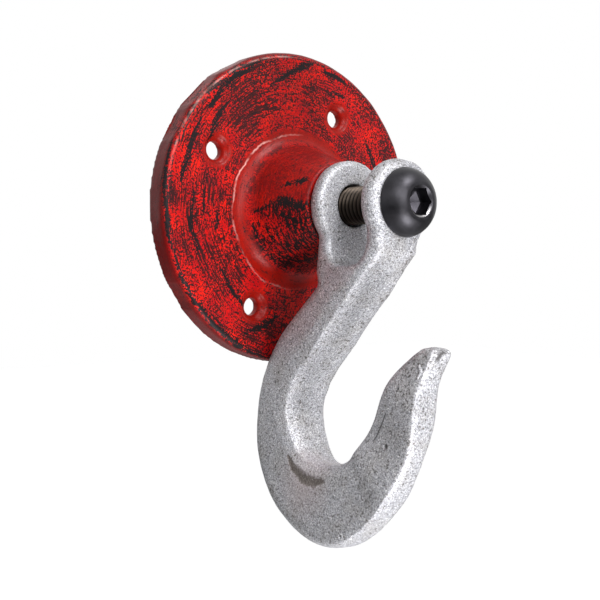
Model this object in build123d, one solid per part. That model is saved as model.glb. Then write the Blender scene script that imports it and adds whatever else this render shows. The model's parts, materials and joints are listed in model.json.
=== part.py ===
from build123d import *

import os
from math import cos, radians, sin, tan

# Wall hook in three pieces: a round cast wall plate with a flared boss, a forged clevis hook whose two
# ears hang on one screw, and that button head screw, which clamps the ears against the boss.
# Millimetres. The back of the plate lies in the plane Y = 0 with its centre at the origin, the screw
# runs straight out of the wall along -Y, and +Z is up.

# Wall plate
plate_diameter = 105.0
rim_height = 8.6
rim_rounding = 2.4
rim_width = 6.5
web_thickness = 5.0
recess_rounding = 1.5
back_land_diameter = 48.0

# Flared boss on the plate
boss_height = 31.4
boss_end_diameter = 28.4
boss_foot_diameter = 44.0
boss_foot_fillet = 6.5
boss_end_rounding = 0.8
tapped_depth = 20.0

# Four countersunk holes for wood screws, turned from the horizontal as the plate hangs
hole_count = 4
hole_circle_diameter = 74.2
hole_turn = 61.0
hole_diameter = 6.0
countersink_diameter = 10.0
countersink_angle = 90.0

# Button head screw
screw_diameter = 12.0
screw_length = 45.0
screw_tip_chamfer = 1.0
head_diameter = 21.0
head_height = 6.6
head_edge = 0.8
head_flat_diameter = 11.4
head_bulge = 0.9
socket_across_flats = 8.0
socket_depth = 4.2
socket_drill_angle = 120.0
socket_rim_diameter = 9.8
socket_rim_angle = 30.0

# Fork of the hook
ear_thickness = 6.4
ear_gap = 16.4
back_ear_radius = 14.3
front_ear_radius = 13.2
ear_hole_clearance = 0.7
ear_outer_rounding = 3.1
ear_inner_rounding = 2.0
neck_thickness = 19.0
neck_blend = 4.5
slot_depth = 19.6
slot_corner = 6.5
fork_depth = 22.6
slope_start = 14.9

# Hook below the fork: the way its inner and outer outlines run, seen from the side
shank_slope = 39.2
shank_inner_length = 52.2
bowl_radius = 16.0
leg_lean = 24.4
leg_inner_length = 15.5
tip_sweep_radius = 30.0
tip_sweep = 46.0
back_drop = 0.4
back_slope = 47.0
back_bend_radius = 5.6
back_run = 14.4
back_arc_radius = 44.0
back_arc_turn = 57.0
belly_arc_radius = 36.5
belly_arc_turn = 70.0
heel_arc_radius = 26.0
heel_arc_turn = 46.0
front_arc_radius = 52.0
front_arc_turn = 52.0
flick_radius = 40.0
flick_turn = 27.5

# How thick the hook is across, at the shank, under the bowl, up the leg and at the tip
shank_thickness = 19.2
belly_thickness = 14.4
leg_thickness = 10.8
tip_thickness = 8.0
rounding_share = 0.32
greatest_rounding_share = 0.49
neck_rounding = 3.8
tip_edge_width = 1.6
tip_edge_thickness = 3.2

# The bar starts this much inside the outline of the fork's underside, and keeps the neck's shape as far as
# these parts of the shank and of the drop behind it
joint_step = 0.06
neck_share_of_shank = 0.05
neck_share_of_drop = 0.6

# The hook hangs turned on its screw by this much, so that its back stays clear of the wall
hang_angle = 6.5

# Places that follow from the sizes above
plate_radius = plate_diameter / 2
fork_width = 2 * ear_thickness + ear_gap
fork_back = -boss_height
fork_front = -(boss_height + fork_width)
ear_hole_diameter = screw_diameter + 2 * ear_hole_clearance
clear_of_ears = 2 * back_ear_radius

# Two places closer together than this count as the same
tolerance = 0.01


def turned(profile):
    """A solid of revolution about the screw's axis, from a profile drawn as radius and height from the wall."""
    return revolve(Plane(origin=(0, 0, 0), x_dir=(1, 0, 0), z_dir=(0, 0, -1)) * profile, Axis.Y)


def from_front(sketch, height):
    """A flat sketch as seen from in front of the wall, set at a height from it."""
    return Plane(origin=(0, -height, 0), x_dir=(1, 0, 0), z_dir=(0, -1, 0)) * sketch


def countersunk_hole():
    """What a hole for a wood screw takes out of the plate, centred on the screw's axis."""
    narrow = hole_diameter / 2
    wide = countersink_diameter / 2
    shoulder = rim_height - (wide - narrow) / tan(radians(countersink_angle / 2))
    outline = Polyline((0, 0), (narrow, 0), (narrow, shoulder), (wide, rim_height), (0, rim_height), close=True)
    return turned(make_face(outline))


def wall_plate():
    """Plate and boss are one casting. Behind, it stands on its rim and on a round land, hollowed in between."""
    foot_radius = boss_foot_diameter / 2
    end_radius = boss_end_diameter / 2
    profile = make_face(
        Polyline(
            (0, 0),
            (plate_radius, 0),
            (plate_radius, rim_height),
            (foot_radius, rim_height),
            (end_radius, boss_height),
            (0, boss_height),
            close=True,
        )
    )
    foot_corner = profile.vertices().sort_by_distance((foot_radius, rim_height))[0]
    profile = fillet(foot_corner, boss_foot_fillet)
    rim_corner = profile.vertices().sort_by_distance((plate_radius, rim_height))[0]
    profile = fillet(rim_corner, rim_rounding)
    end_corner = profile.vertices().sort_by_distance((end_radius, boss_height))[0]
    profile = fillet(end_corner, boss_end_rounding)
    body = turned(profile)

    recess_depth = rim_height - web_thickness
    recess = from_front(Circle(plate_radius - rim_width) - Circle(back_land_diameter / 2), 0)
    recess = extrude(recess, recess_depth, dir=(0, -1, 0))
    recess = fillet(recess.edges().group_by(Axis.Y)[0], recess_rounding)
    body -= recess

    for number in range(hole_count):
        direction = radians(hole_turn + number * 360 / hole_count)
        reach = hole_circle_diameter / 2
        body -= Pos(reach * cos(direction), 0, reach * sin(direction)) * countersunk_hole()

    tapped = from_front(Circle(screw_diameter / 2), boss_height - tapped_depth)
    body -= extrude(tapped, tapped_depth, dir=(0, -1, 0))
    return body


def button_head_screw():
    """The dome is an arc from the thin edge of the head up to its flat crown round the hexagon socket."""
    seat = boss_height + fork_width
    tip = seat - screw_length
    shank_radius = screw_diameter / 2
    edge = (head_diameter / 2, seat + head_edge)
    crown = (head_flat_diameter / 2, seat + head_height)
    middle = ((edge[0] + crown[0]) / 2 + head_bulge, (edge[1] + crown[1]) / 2 + head_bulge)
    outline = Polyline(
        crown,
        (0, seat + head_height),
        (0, tip),
        (shank_radius - screw_tip_chamfer, tip),
        (shank_radius, tip + screw_tip_chamfer),
        (shank_radius, seat),
        (head_diameter / 2, seat),
        edge,
    )
    dome = ThreePointArc(edge, middle, crown)
    screw = turned(make_face([*outline.edges(), dome]))

    top = seat + head_height
    hexagon = from_front(RegularPolygon(socket_across_flats / 2, 6, major_radius=False), top - socket_depth)
    screw -= extrude(hexagon, socket_depth, dir=(0, -1, 0))
    rim = (socket_rim_diameter - socket_across_flats) / 2
    countersunk = turned(
        make_face(
            Polyline(
                (0, top),
                (socket_rim_diameter / 2, top),
                (socket_across_flats / 2, top - rim * tan(radians(socket_rim_angle))),
                (0, top - rim * tan(radians(socket_rim_angle))),
                close=True,
            )
        )
    )
    drill_depth = socket_across_flats / 2 / tan(radians(socket_drill_angle / 2))
    floor = top - socket_depth
    drill_point = turned(
        make_face(Polyline((0, floor), (socket_across_flats / 2, floor), (0, floor - drill_depth), close=True))
    )
    return screw - countersunk - drill_point


def inner_outline():
    """The side of the hook that carries the load: shank, bowl, leg and the sweep out to the tip."""
    start = Vector(fork_front, -slope_start)
    down_shank = Vector(sin(radians(shank_slope)), -cos(radians(shank_slope)))
    up_leg = Vector(-sin(radians(leg_lean)), cos(radians(leg_lean)))
    shank = Line(start, start + down_shank * shank_inner_length)
    bowl = JernArc(shank @ 1, down_shank, bowl_radius, -(shank_slope + 180 - leg_lean))
    leg = Line(bowl @ 1, (bowl @ 1) + up_leg * leg_inner_length)
    tip = JernArc(leg @ 1, up_leg, tip_sweep_radius, tip_sweep)
    return shank, bowl, leg, tip


def outer_outline():
    """The back of the hook: down the back ear, out towards the wall, round under the bowl and up the leg."""
    start = Vector(fork_back, -fork_depth)
    drop = Line(start, start - Vector(0, back_drop))
    bend = JernArc(drop @ 1, (0, -1), back_bend_radius, back_slope)
    run = Line(bend @ 1, (bend @ 1) + (bend % 1) * back_run)
    back = JernArc(run @ 1, run % 1, back_arc_radius, -back_arc_turn)
    belly = JernArc(back @ 1, back % 1, belly_arc_radius, -belly_arc_turn)
    heel = JernArc(belly @ 1, belly % 1, heel_arc_radius, -heel_arc_turn)
    front = JernArc(heel @ 1, heel % 1, front_arc_radius, -front_arc_turn)
    tip = JernArc(front @ 1, front % 1, flick_radius, flick_turn)
    return drop, bend, run, back, belly, heel, front, tip


def rib(inner, outer, thickness, rounding, inset=0):
    """A rounded slice across the hook, from a point of the inner outline to one of the outer outline."""
    across = outer - inner
    middle = (inner + outer) / 2
    width = across.length - 2 * inset
    plane = Plane(
        origin=(0, middle.X, middle.Y),
        x_dir=(0, across.X, across.Y),
        z_dir=(0, across.Y, -across.X),
    )
    return plane * RectangleRounded(width, thickness - 2 * inset, min(rounding, greatest_rounding_share * width))


def hook_bar():
    """Everything below the fork, drawn through ribs that join the two outlines."""
    shank, bowl, leg, sweep = inner_outline()
    drop, bend, run, back, belly, heel, front, flick = outer_outline()
    at_fork = (fork_depth - slope_start) / cos(radians(shank_slope)) / shank_inner_length
    belly_loss = shank_thickness - belly_thickness
    leg_loss = belly_thickness - leg_thickness
    tip_loss = leg_thickness - tip_thickness
    pairs = (
        (shank @ 0.45, bend @ 0.35, shank_thickness),
        (shank @ 0.66, bend @ 1.0, shank_thickness),
        (shank @ 0.87, run @ 1.0, shank_thickness),
        (bowl @ 0.0, back @ 0.14, shank_thickness),
        (bowl @ 0.13, back @ 0.58, shank_thickness),
        (bowl @ 0.26, back @ 1.0, shank_thickness - 0.1 * belly_loss),
        (bowl @ 0.44, belly @ 0.5, shank_thickness - 0.45 * belly_loss),
        (bowl @ 0.62, belly @ 1.0, belly_thickness),
        (bowl @ 0.75, heel @ 0.55, belly_thickness - 0.35 * leg_loss),
        (bowl @ 0.87, front @ 0.1, belly_thickness - 0.7 * leg_loss),
        (bowl @ 1.0, front @ 0.52, leg_thickness),
        (leg @ 1.0, front @ 0.88, leg_thickness),
        (sweep @ 0.35, flick @ 0.15, leg_thickness),
        (sweep @ 0.7, flick @ 0.6, leg_thickness - 0.5 * tip_loss),
        (sweep @ 0.93, flick @ 0.95, tip_thickness),
    )
    ribs = [
        rib(shank @ at_fork, drop @ 0, neck_thickness, neck_rounding, joint_step),
        rib(
            shank @ (at_fork + neck_share_of_shank),
            drop @ neck_share_of_drop,
            neck_thickness,
            neck_rounding,
            joint_step,
        ),
    ]
    for inner, outer, thickness in pairs:
        ribs.append(rib(inner, outer, thickness, rounding_share * thickness))
    nose = (sweep @ 1.0 + flick @ 1.0) / 2
    across_nose = (sweep @ 1.0 - flick @ 1.0).normalized() * tip_edge_width / 2
    ribs.append(rib(nose + across_nose, nose - across_nose, tip_edge_thickness, tip_edge_width / 2))
    return loft([each.face() for each in ribs])


def ear_outline(radius):
    """A round ear and its neck, seen from in front."""
    neck = Pos(0, -fork_depth / 2) * Rectangle(neck_thickness, fork_depth)
    outline = Circle(radius) + neck
    corners = outline.vertices().group_by(Axis.Y)[1]
    return fillet(corners, neck_blend)


def side_cut(profile):
    """A cut right through the hook, from a profile seen from the side as distance from the wall and height."""
    return extrude(Plane.YZ * profile, clear_of_ears, both=True)


def fork():
    """The two ears and the gap between them, with the front already falling back in line with the shank."""
    half = fork_width / 2
    block = extrude(from_front(ear_outline(back_ear_radius), boss_height), half, dir=(0, -1, 0))
    block += extrude(from_front(ear_outline(front_ear_radius), boss_height + half), half, dir=(0, -1, 0))
    fall = (fork_depth - slope_start) * tan(radians(shank_slope))
    below_front = make_face(
        Polyline(
            (fork_front, -slope_start),
            (fork_front, -fork_depth),
            (fork_front + fall, -fork_depth),
            close=True,
        )
    )
    block -= side_cut(below_front)
    back = block.faces().sort_by(Axis.Y)[-1]
    front = block.faces().sort_by(Axis.Y)[0]
    out_of_slope = Vector(0, -cos(radians(shank_slope)), -sin(radians(shank_slope)))
    slope = block.faces().filter_by(GeomType.PLANE).sort_by(lambda face: face.normal_at().dot(out_of_slope))[-1]
    above_underside = tolerance - fork_depth
    outer_rims = [e for f in (back, front, slope) for e in f.edges() if e.center().Z > above_underside]
    block = fillet(outer_rims, ear_outer_rounding)

    gap_back = fork_back - ear_thickness
    gap = Pos(gap_back - ear_gap / 2, back_ear_radius - slot_depth / 2)
    gap_profile = gap * Rectangle(ear_gap, slot_depth + clear_of_ears)
    gap_profile = fillet(gap_profile.vertices().group_by(Axis.Y)[0], slot_corner)
    block -= side_cut(gap_profile)
    inner_rims = []
    for edge in block.edges():
        box = edge.bounding_box()
        in_gap = box.min.Y > gap_back - ear_gap - tolerance and box.max.Y < gap_back + tolerance
        straight_across = edge.geom_type == GeomType.LINE and box.size.X > neck_thickness / 2
        if in_gap and not straight_across:
            inner_rims.append(edge)
    return fillet(inner_rims, ear_inner_rounding)


def clevis_hook():
    """Fork and bar are one forging, with a round-bottomed gap between the ears and a hole through both."""
    body = fork() + hook_bar()
    hole = extrude(from_front(Circle(ear_hole_diameter / 2), boss_height), fork_width, dir=(0, -1, 0))
    body -= hole
    return body


if __name__ == "__main__":
    os.makedirs("parts", exist_ok=True)
    pieces = {
        "wall_plate": wall_plate(),
        "clevis_hook": clevis_hook().rotate(Axis.Y, hang_angle),
        "button_head_screw": button_head_screw(),
    }
    for name, piece in pieces.items():
        print(name, round(piece.volume), piece.is_valid, len(piece.solids()))
        export_step(piece, f"parts/{name}.step")
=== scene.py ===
# %% [markdown]
# # A worn wall hook in red, silver and black
# The object is three pieces of metal: a cast iron plate painted red, a forged hook painted silver, and a
# black screw that joins them. The CAD solids give every size. This notebook turns them into what the eye
# sees: thick old paint, grainy silver, a real thread, and the marks of wear.

# %% [markdown]
# ## The solids as a frame
# The solids are loaded once and never changed. Every piece below is made round them, in the same place and
# at the same size, so that it can stand in for its solid. Lengths are written in millimetres, as in a
# drawing, and MM turns them into the metres of the scene.

# %% Load the CAD solids as a fixed frame
import json
from math import atan2, cos, hypot, pi, radians, sin, tan

import bmesh
import bpy
from mathutils import Matrix, Vector, noise

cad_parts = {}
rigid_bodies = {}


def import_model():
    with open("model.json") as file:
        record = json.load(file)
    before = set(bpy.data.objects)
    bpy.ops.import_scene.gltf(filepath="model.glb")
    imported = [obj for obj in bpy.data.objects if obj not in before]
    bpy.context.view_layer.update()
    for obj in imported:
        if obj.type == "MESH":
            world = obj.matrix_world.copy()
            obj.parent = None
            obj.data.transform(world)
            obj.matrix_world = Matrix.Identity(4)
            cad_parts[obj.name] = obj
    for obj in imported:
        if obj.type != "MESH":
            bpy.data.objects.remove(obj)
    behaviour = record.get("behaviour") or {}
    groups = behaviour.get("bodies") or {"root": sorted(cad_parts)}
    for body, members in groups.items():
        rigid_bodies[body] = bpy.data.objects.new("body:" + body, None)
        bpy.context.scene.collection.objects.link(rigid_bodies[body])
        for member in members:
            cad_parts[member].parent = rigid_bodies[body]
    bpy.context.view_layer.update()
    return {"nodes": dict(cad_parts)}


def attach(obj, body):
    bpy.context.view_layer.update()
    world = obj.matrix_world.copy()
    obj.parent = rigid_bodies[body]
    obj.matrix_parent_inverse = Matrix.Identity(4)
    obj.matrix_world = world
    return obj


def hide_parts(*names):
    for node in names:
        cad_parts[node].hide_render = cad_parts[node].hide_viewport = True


for leftover in list(bpy.data.objects):
    bpy.data.objects.remove(leftover)
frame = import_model()
MM = 0.001
print("solids:", sorted(frame["nodes"]))

# %% [markdown]
# ## Two small tools
# Colours are written as the sRGB hex values that one would read in a picture, and one function turns them
# into the linear values that the shaders need. Another function adds a shader or geometry node, with its
# settings and whatever is plugged into it, so that each material below reads as a list of decisions.


# %% Colour and node helpers
def linear(colour):
    """An sRGB hex colour as linear red, green, blue and alpha."""
    channels = [int(colour[i:i + 2], 16) / 255 for i in (1, 3, 5)]
    return tuple(c / 12.92 if c <= 0.04045 else ((c + 0.055) / 1.055) ** 2.4 for c in channels) + (1.0,)


def add(tree, kind, inputs=None, **settings):
    """A new node with its settings. An input is a plain value, an output, or a node, for its first output."""
    made = tree.nodes.new(kind)
    for name, value in settings.items():
        setattr(made, name, value)
    for socket, value in (inputs or {}).items():
        if isinstance(value, bpy.types.Node):
            value = value.outputs[0]
        if isinstance(value, bpy.types.NodeSocket):
            tree.links.new(value, made.inputs[socket])
        else:
            made.inputs[socket].default_value = value
    return made


print("signal red is", [round(c, 3) for c in linear("#D8231B")])

# %% [markdown]
# ## From a clean solid to a casting
# A casting or a forging has no crisp corners: the mould, the scale and two coats of paint round them all.
# A voxel remesh gives every part of the surface the same small faces, smoothing melts the corners, and a
# slow noise moves the surface in and out by a fraction of a millimetre, as hot metal and old moulds do.


# %% Copy a solid with its corners melted
WELD = 0.001
SMOOTHING = 0.5


def melted_copy(node, name, voxel, rounds):
    """A copy of a solid as an even mesh with softened corners. voxel is in millimetres."""
    mesh = frame["nodes"][node].data.copy()
    mesh.materials.clear()
    merged = bmesh.new()
    merged.from_mesh(mesh)
    bmesh.ops.remove_doubles(merged, verts=merged.verts, dist=WELD * MM)
    merged.to_mesh(mesh)
    merged.free()
    piece = bpy.data.objects.new(name, mesh)
    bpy.context.scene.collection.objects.link(piece)
    remesh = piece.modifiers.new("even faces", "REMESH")
    remesh.mode = "VOXEL"
    remesh.voxel_size = voxel * MM
    melt = piece.modifiers.new("melted corners", "SMOOTH")
    melt.factor = SMOOTHING
    melt.iterations = rounds
    finished = bpy.data.meshes.new_from_object(piece.evaluated_get(bpy.context.evaluated_depsgraph_get()))
    piece.modifiers.clear()
    piece.data = finished
    finished.name = name
    finished.polygons.foreach_set("use_smooth", [True] * len(finished.polygons))
    print(name, "has", len(finished.polygons), "faces")
    return piece


def uneven(piece, shift):
    """Move each point of a piece along its normal by shift(place in mm, normal), also in mm."""
    mesh = piece.data
    normals = [v.normal.copy() for v in mesh.vertices]
    most = 0.0
    for vertex, normal in zip(mesh.vertices, normals):
        step = shift(vertex.co / MM, normal)
        most = max(most, abs(step))
        vertex.co += normal * step * MM
    mesh.update()
    print(piece.name, "moved by up to", round(most, 2), "mm")


# %% [markdown]
# ## Marks, one by one
# Old things carry marks in particular places, so some wear is drawn one by one. A stroke is a line through
# a few places on the surface, with its half width at each. How deep a point lies in a stroke can lift or
# sink the surface there. It can also be kept on the mesh as an attribute, which the paint's material
# reads later.


# %% Strokes and marks
def depth_in(strokes, place):
    """How deep a place in mm lies inside the nearest stroke: 1 on its line, 0 at its edge and beyond."""
    deepest = 0.0
    for stroke in strokes:
        for (start, start_width), (end, end_width) in zip(stroke, stroke[1:]):
            start, along = Vector(start), Vector(end) - Vector(start)
            share = min(1.0, max(0.0, (place - start).dot(along) / along.length_squared))
            width = start_width + share * (end_width - start_width)
            distance = (place - start - along * share).length
            deepest = max(deepest, 1 - distance / width)
    return deepest


def marked(piece, name, strength):
    """Keep strength(place in mm), from 0 to 1, on each point of a piece."""
    layer = piece.data.attributes.new(name, "FLOAT", "POINT")
    values = [strength(v.co / MM) for v in piece.data.vertices]
    layer.data.foreach_set("value", values)
    share = sum(v > 0.05 for v in values) / len(values)
    print(piece.name, name, "covers", round(100 * share, 1), "% of the points")


def finer_near(piece, places, reach, times=2):
    """Halve the edges within reach mm of some places, for marks that are smaller than the faces."""
    fine = bmesh.new()
    fine.from_mesh(piece.data)
    spots = [Vector(p) * MM for p in places]
    for _ in range(times):
        close = [e for e in fine.edges if any((v - e.verts[0].co).length < reach * MM for v in spots)]
        bmesh.ops.subdivide_edges(fine, edges=close, cuts=1, use_grid_fill=True)
    for face in fine.faces:
        face.smooth = True
    fine.to_mesh(piece.data)
    fine.free()
    print(piece.name, "now has", len(piece.data.polygons), "faces")


# %% [markdown]
# ## The wall plate
# Cast iron shows the sand it was poured in, and the face is never quite level: it has slow waves about 15 mm
# wide and quicker ones of 4 mm. The rim has slight flats where the casting was fettled by hand, and one side
# bulges a little. The four holes are a touch tighter than drawn, by their thick coat of paint.

# %% Wall plate
PLATE_RADIUS = 52.5
RIM_BAND = 6.5
FACE = -8.6
BACK_HALF = -4.0
HOLE_CIRCLE = 37.1
FIRST_HOLE = 61
HOLE_OPENING = 3.9
PAINT_IN_HOLES = 0.15
CAST_WAVES = ((0.16, 15), (0.08, 4))
# Each flat has its middle as an angle round the rim, its depth in mm and its half spread as an angle.
FLATS = ((2.36, 0.9, 0.16), (2.62, 0.7, 0.13), (3.72, 0.5, 0.10), (2.05, 0.4, 0.12), (4.55, 0.45, 0.30),
         (1.10, -0.5, 1.00))

hole_angles = [radians(FIRST_HOLE + 90 * i) for i in range(4)]
HOLES = [Vector((HOLE_CIRCLE * cos(a), 0, HOLE_CIRCLE * sin(a))) for a in hole_angles]


def waves(place, sizes):
    """Noise that is the sum of waves, each with a height and a width in mm."""
    return sum(height * noise.noise(place / width) for height, width in sizes)


def cast_wander(place, normal):
    """Slow waves over the whole casting, and hand-dressed flats round its rim."""
    radius = hypot(place.x, place.z)
    wander = waves(place, CAST_WAVES)
    if any(hypot(place.x - hole.x, place.z - hole.z) < HOLE_OPENING for hole in HOLES):
        return wander + PAINT_IN_HOLES
    if radius < PLATE_RADIUS - RIM_BAND:
        return wander
    angle = atan2(place.z, place.x) % (2 * pi)
    outward = max(0.0, normal.x * place.x / radius + normal.z * place.z / radius)
    for middle, depth, spread in FLATS:
        wander -= outward * depth * max(0.0, 1 - ((angle - middle) / spread) ** 2)
    return wander


plate = melted_copy("wall_plate", "cast_wall_plate", voxel=0.55, rounds=3)
uneven(plate, cast_wander)

# %% [markdown]
# The strokes below are the places where the red was rubbed right through, read off the photo one by one. They
# run round the plate, along its edge, and over the left flank of the boss. Rubbing doesn't reach into the
# countersinks and the hollow at the foot of the boss, and hardly reaches the back and the top of the boss. So
# these are marked as sheltered.

# %% Where the plate is rubbed, where shade is painted on the boss, and where it is sheltered
COUNTERSINK_RADIUS = 6.2
HOLLOW_OUTSIDE = 27.4
BOSS_FOOT = 21.6
LOWER_BOSS_SHADE = 0.5
BACK_SHELTERED = 0.7
BOSS_TOP_SHELTERED = 0.6
RUBBED_THROUGH = (
    (((6.5, FACE, 50.0), 1.6), ((2.5, FACE, 48.6), 2.6), ((-3.1, FACE, 45.6), 2.2),
     ((-11.0, FACE, 41.0), 1.2)),
    (((12.3, FACE, 47.6), 1.0), ((17.5, FACE, 46.8), 1.7), ((21.5, FACE, 45.0), 1.0)),
    (((-18.0, FACE, 46.6), 1.0), ((-25.6, FACE, 42.1), 2.4), ((-30.7, FACE, 38.0), 2.6),
     ((-34.6, FACE, 31.5), 1.6)),
    (((-38.4, FACE, 28.0), 1.0), ((-41.6, FACE, 20.5), 2.2), ((-44.3, FACE, 13.0), 2.2),
     ((-46.4, FACE, 7.0), 1.0)),
    (((-48.0, -7.0, 21.0), 0.8), ((-50.8, -7.4, 12.1), 1.6), ((-51.7, -7.8, 4.3), 1.6),
     ((-51.3, -8.2, -1.0), 1.4)),
    (((-51.3, -8.2, -0.3), 1.4), ((-50.0, -8.3, -11.0), 1.3), ((-46.6, FACE, -20.5), 1.2),
     ((-41.1, FACE, -29.9), 1.2), ((-34.4, FACE, -37.2), 1.4), ((-23.9, FACE, -45.2), 2.0)),
    (((-20.8, -12.2, -1.6), 1.0), ((-18.2, -17.3, 0.0), 2.2), ((-16.8, -23.5, 1.4), 3.0),
     ((-14.6, -30.0, -1.0), 3.2)),
    (((-16.8, -22.0, -3.0), 1.6), ((-14.7, -28.4, -5.4), 2.4)),
    (((-15.8, -21.4, 6.2), 1.6), ((-12.8, -28.6, 8.1), 1.8)),
    (((-12.0, -15.0, -16.0), 1.0), ((-6.2, -17.8, -17.8), 2.2), ((-4.2, -25.2, -16.5), 2.6)),
    (((-32.3, FACE, -1.6), 1.4), ((-33.1, FACE, -6.8), 1.4)),
    (((15.6, FACE, 41.4), 1.0), ((20.8, FACE, 39.6), 1.6)),
    (((-22.6, FACE, -41.4), 1.2), ((-14.4, FACE, -38.9), 2.2), ((-8.5, FACE, -36.0), 1.4)),
    (((-15.4, FACE, 36.8), 0.8), ((-13.0, FACE, 34.8), 0.9)),
    (((-36.4, FACE, 9.8), 0.8), ((-38.0, FACE, -2.8), 1.0)),
    (((31.0, FACE, 26.0), 1.0), ((35.0, FACE, 18.0), 1.8), ((37.0, FACE, 8.0), 1.2)),
    (((22.0, FACE, -36.0), 1.4), ((33.0, FACE, -27.0), 2.2), ((39.0, FACE, -17.0), 1.2)),
    (((-28.0, FACE, 34.0), 1.0), ((-33.0, FACE, 27.0), 2.2), ((-36.0, FACE, 20.0), 1.4)),
    (((-41.5, FACE, 5.0), 1.0), ((-42.5, FACE, -6.0), 2.0), ((-40.0, FACE, -14.0), 1.2)),
    (((-31.0, FACE, -20.0), 1.0), ((-27.0, FACE, -27.0), 1.8), ((-21.0, FACE, -33.0), 1.2)),
)


def out_of_reach(place):
    """How sheltered a place is: 1 in the countersinks and the hollow, less behind and on top of the boss."""
    if place.y > BACK_HALF:
        return BACK_SHELTERED
    flat = Vector((place.x, 0, place.z))
    in_hole = max(0.0, min(1.0, COUNTERSINK_RADIUS - min((flat - hole).length for hole in HOLES)))
    in_hollow = max(0.0, min(1.0, (HOLLOW_OUTSIDE - flat.length) / 0.8, (flat.length - BOSS_FOOT) / 1.6))
    on_top_of_boss = flat.length < BOSS_FOOT and place.z > 7 + 0.4 * place.x
    return max(in_hole, in_hollow, BOSS_TOP_SHELTERED if on_top_of_boss else 0.0)


def rubbed_through_and_shade(place):
    """The strokes, and painted shade over the lower half of the boss as more black showing through."""
    if place.y > BACK_HALF:
        return 0.0
    # Painted shade: more black shows through on the lower half of the boss.
    shade_below = LOWER_BOSS_SHADE * max(0.0, min(1.0, (8 - place.z + 0.3 * place.x) / 10))
    return max(depth_in(RUBBED_THROUGH, place), shade_below if hypot(place.x, place.z) < BOSS_FOOT else 0.0)


marked(plate, "rubbed_through_and_shade", rubbed_through_and_shade)
# Where a place is sheltered, the red is also painted deeper, as painted shade.
marked(plate, "sheltered", out_of_reach)

# %% [markdown]
# ## The hook
# The hook is a drop forging: rounder than the casting, with a slightly hammered surface under the paint. It
# has pits where scale fell off, one thin crack in the paint, and a worn crescent where a chain rubbed. A bit
# of flash still stands on the front ear, one edge of the neck was ground back, the heel is leaner than drawn,
# and the tip is chipped, with a burr beside it. The pits and the strokes for all of this move the surface
# itself, so that it shows from every side.

# %% The marks on the hook
# Each pit has its place, its radius and its depth.
PITS = (
    ((-12.9, -65.7, -71.3), 1.1, 0.40), ((-6.5, -37.8, -10.9), 0.7, 0.22), ((-4.9, -37.8, -10.2), 0.5, 0.15),
    ((-9.4, -55.9, 9.0), 0.7, 0.22), ((-8.4, -56.8, 10.2), 0.6, 0.22), ((-6.9, -58.1, 11.2), 0.7, 0.25),
    ((-10.4, -55.4, 7.4), 0.5, 0.20), ((-16.2, -17.3, -56.7), 0.6, 0.20), ((-11.7, -69.7, -54.3), 0.6, 0.20),
    ((-14.7, -28.4, -44.7), 0.6, 0.20), ((-16.0, -54.5, -99.9), 0.7, 0.20),
    ((-15.6, -57.8, -97.8), 0.6, 0.20), ((-17.3, -51.0, -99.8), 0.6, 0.20),
)
FLASH = ((((4.5, -59.6, 12.8), 1.6), ((8.6, -59.2, 10.6), 2.2), ((11.6, -58.6, 7.0), 1.4)),)
GROUND_EDGE = ((((9.8, -60.2, -8.0), 1.6), ((8.6, -59.6, -14.0), 5.4), ((7.6, -56.0, -20.0), 5.4),
                ((6.8, -50.0, -26.0), 3.0)),)
LEAN_HEEL = ((((-12.0, -56.0, -102.0), 9.0), ((-9.0, -66.0, -95.0), 12.0), ((-8.0, -73.0, -86.0), 9.0)),)
CHIPPED_TIP = ((((-4.3, -81.3, -43.2), 1.5), ((-5.8, -81.2, -44.0), 1.9), ((-6.9, -80.7, -45.1), 1.4)),)
BURR = ((((-10.1, -76.5, -47.2), 0.5), ((-10.0, -77.1, -48.6), 0.7), ((-10.3, -76.3, -50.6), 0.5)),
        (((-8.2, -80.4, -43.6), 0.6), ((-8.6, -79.6, -46.0), 0.6)))
CRACK = ((((-12.3, -65.1, -61.9), 0.30), ((-12.2, -63.2, -65.7), 0.35), ((-12.6, -61.5, -69.1), 0.35),
          ((-12.8, -60.4, -70.4), 0.20)),)
CRESCENT = ((((-17.6, -26.0, -79.4), 0.7), ((-17.6, -28.6, -82.9), 1.7), ((-17.4, -33.3, -85.4), 2.3),
             ((-17.0, -38.3, -85.9), 1.9), ((-16.6, -42.0, -85.0), 0.8)),)
# How far each kind of stroke lifts the surface on its own line, in mm.
LIFTS = ((LEAN_HEEL, -0.8), (FLASH, 0.9), (GROUND_EDGE, -1.8), (CRACK, -0.12))
TIP_LIFTS = ((BURR, 0.4), (CHIPPED_TIP, -0.5))
CRESCENT_SUNK = 0.25
print(len(PITS), "pits and", len(LIFTS) + len(TIP_LIFTS) + 1, "kinds of mark by hand")

# %% [markdown]
# The solid's bar has evenly rounded corners. Below the fork the photo shows sharper ones along its front,
# plain on the left and hardly there on the right, so these are first moved out towards square ones. The pits
# are then snapped to the new surface, and the edges round each small mark are halved twice, before the waves
# and the marks move every point.

# %% Clevis hook
HANG = radians(6.5)
FORK_END = -22
CORNER_SHARE = 0.32
LEFT_RIDGE = 0.5
RIGHT_RIDGE = 0.1
FORGED_WAVES = ((0.20, 12), (0.07, 3))
TIP = Vector((-6.6, -81.2, -43.5))
TIP_REACH = 9
TIP_WAVES = ((0.5, 1.7),)
PIT_REACH = 1.6
MIDDLE_OF_HALO = Vector((-17.2, -33.5, -87.0))
HALO_RADIUS = 13


def pit(place, middle, radius, depth):
    """A round hollow with a low wall thrown up round it."""
    distance = (place - Vector(middle)).length / radius
    if distance > PIT_REACH:
        return 0.0
    return depth * (0.35 * max(0.0, 1 - abs(distance - 1.1) / 0.4) - max(0.0, 1 - distance ** 2))


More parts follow.
